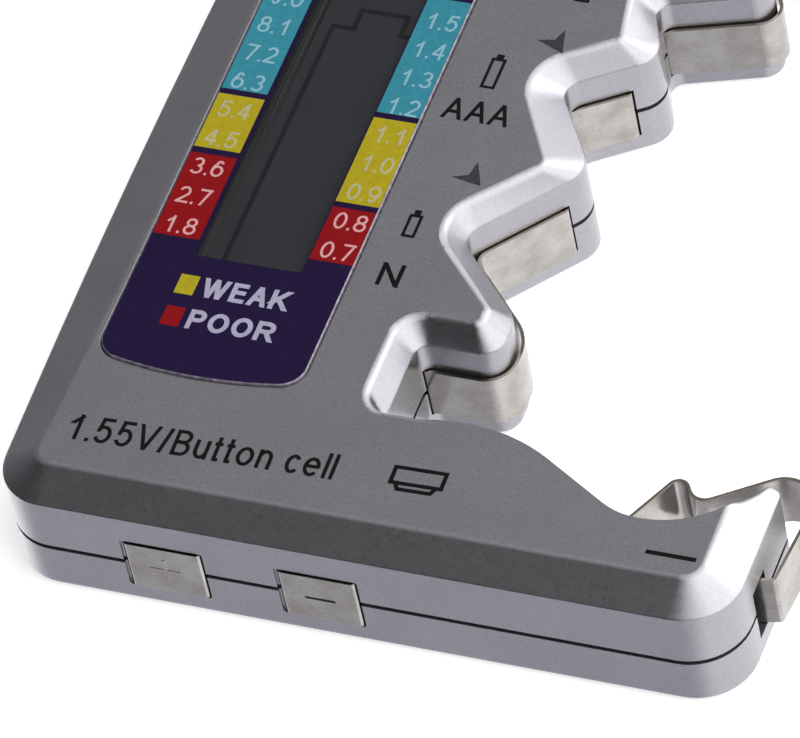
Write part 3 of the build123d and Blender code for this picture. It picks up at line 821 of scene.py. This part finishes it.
def dress_cad_nodes():
    """Gives each CAD node its material, seen or not. The plate has its own pieces instead."""
    paint = silver_paint()
    glass = display_glass()
    film = display_film()
    screw = plain_part("screw_steel", (0.55, 0.55, 0.56), 0.32, 0.2, 1.0, 0.004)
    nodes = {
        "top_shell": paint,
        "bottom_shell": paint,
        "display_front_film": film,
        "display_rear_film": film,
        "display_front_glass": glass,
        "display_rear_glass": glass,
        "circuit_board": circuit_board(),
        "chip_cover": plain_part("epoxy", (0.015, 0.015, 0.017), 0.25, 1.2),
        "load_resistors": plain_part("resistor", (0.03, 0.03, 0.035), 0.5),
        "small_resistors": plain_part("small_resistor", (0.03, 0.03, 0.035), 0.5),
        "capacitors": plain_part("ceramic", (0.42, 0.28, 0.15), 0.5),
        "plus_leads": plain_part("red_insulation", (0.42, 0.02, 0.02), 0.4),
        "minus_leads": plain_part("black_insulation", (0.02, 0.02, 0.02), 0.4),
        "case_screws": screw,
        "board_screws": screw,
        "rubber_connector": plain_part("rubber", (0.03, 0.03, 0.032), 0.8),
        "display_frame": plain_part("frame_plastic", (0.62, 0.62, 0.58), 0.5),
    }
    nodes.update(dict.fromkeys(NICKEL_NODES, nickel()))
    for name, material in nodes.items():
        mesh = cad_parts[name].data
        mesh.materials.clear()
        mesh.materials.append(material)


# ----------------------------------------------------------------------- stage

# In metres, and in watts for the softbox
FLOOR_SIDE = 6.0
FLOOR_DROP = 0.0002
SOFTBOX_PLACE = (0.62, 0.60, 0.58)
SOFTBOX_SIDE = 0.55
SOFTBOX_POWER = 1.0


def floor():
    """A plain white floor that glows a little, so that it stays pale under soft light."""
    half = FLOOR_SIDE / 2
    mesh = bpy.data.meshes.new("floor")
    corners = [(-half, -half, 0), (half, -half, 0), (half, half, 0), (-half, half, 0)]
    mesh.from_pydata(corners, [], [(0, 1, 2, 3)])
    material, tree, shader = new_material("floor_paper")
    fibre = share(tree, noise(tree, 3.0, 3.0), 0.3, 0.7)
    tone = blend_colours(tree, fibre, (0.90, 0.90, 0.91), (0.93, 0.93, 0.94))
    tree.links.new(tone, shader.inputs["Base Color"])
    shader.inputs["Roughness"].default_value = 0.9
    shader.inputs["Emission Color"].default_value = (1.0, 1.0, 1.0, 1.0)
    shader.inputs["Emission Strength"].default_value = 0.45
    mesh.materials.append(material)
    made = bpy.data.objects.new("floor", mesh)
    made.location.z = -FLOOR_DROP
    bpy.context.scene.collection.objects.link(made)
    made.visible_glossy = False


def softbox():
    """A square light at the right and behind, aimed at the middle of the object."""
    lamp = bpy.data.lights.new("right_back_softbox", "AREA")
    lamp.shape = "SQUARE"
    lamp.size = SOFTBOX_SIDE
    lamp.energy = SOFTBOX_POWER
    made = bpy.data.objects.new("right_back_softbox", lamp)
    made.location = SOFTBOX_PLACE
    made.rotation_euler = (-made.location).to_track_quat("-Z", "Y").to_euler()
    bpy.context.scene.collection.objects.link(made)


def facing(tree, direction, low, high, fade):
    """How near a sky direction is to the given one: 0 far from it, 1 close to it."""
    sky = add(tree, "ShaderNodeTexCoord").outputs["Generated"]
    unit = Vector(direction).normalized()
    dot = add(tree, "ShaderNodeVectorMath", [(0, sky), (1, tuple(unit))], operation="DOT_PRODUCT")
    inputs = [(0, dot.outputs["Value"]), (1, low), (2, high)]
    return add(tree, "ShaderNodeMapRange", inputs, interpolation_type=fade).outputs[0]


# Light laid over the dark studio, first to last. Each layer: its direction, how near to it (as a
# cosine) it starts and is full, how it fades in, and its colour
STUDIO_DARK = (0.035, 0.035, 0.038)
STUDIO_LAYERS = [
    # dim wall behind
    ((-0.3, 0.75, 0.55), 0.3, 0.85, "SMOOTHSTEP", (0.29, 0.29, 0.30)),
    # pale ground, and its dimmer part below the camera
    ((0.0, 0.0, -1.0), 0.1, 0.4, "SMOOTHSTEP", (1.45, 1.45, 1.46)),
    ((-0.31, -0.59, -0.74), 0.70, 0.98, "SMOOTHSTEP", (0.68, 0.68, 0.74)),
    # low light behind
    ((0.3, 0.88, 0.3), 0.75, 0.95, "SMOOTHSTEP", (1.75, 1.75, 1.75)),
    # wide light up on the right
    ((0.78, 0.06, 0.62), 0.30, 0.90, "LINEAR", (2.6, 2.6, 2.55)),
]


def studio_sky():
    """A dark studio, over which each layer of light is laid."""
    world = bpy.data.worlds.new("studio")
    bpy.context.scene.world = world
    world.use_nodes = True
    tree = world.node_tree
    light = STUDIO_DARK
    for direction, start, full, fade, colour in STUDIO_LAYERS:
        light = blend_colours(tree, facing(tree, direction, start, full, fade), light, colour)
    tree.links.new(light, tree.nodes["Background"].inputs["Color"])
    tree.nodes["Background"].inputs["Strength"].default_value = 1.0


def camera():
    """The photograph's viewpoint."""
    lens = bpy.data.cameras.new("camera")
    lens.sensor_width = 36.0
    lens.lens = CAMERA_LENS
    lens.clip_start = 0.01
    made = bpy.data.objects.new("camera", lens)
    up = [-part for part in CAMERA_DOWN]
    behind = [-part for part in CAMERA_AHEAD]
    turn = Matrix((CAMERA_RIGHT, up, behind)).transposed()
    made.matrix_world = Matrix.Translation(CASE_CORNER + CAMERA_PLACE) @ turn.to_4x4()
    bpy.context.scene.collection.objects.link(made)
    bpy.context.scene.camera = made


def colour_management():
    """Plain colours, with no film look."""
    settings = bpy.context.scene.view_settings
    settings.view_transform = "Standard"
    settings.look = "None"
    settings.exposure = 0.0


dress_cad_nodes()
printed_plate()
colour_bands()
scale_lettering()
case_prints()
display_outline()
floor()
softbox()
studio_sky()
camera()
colour_management()
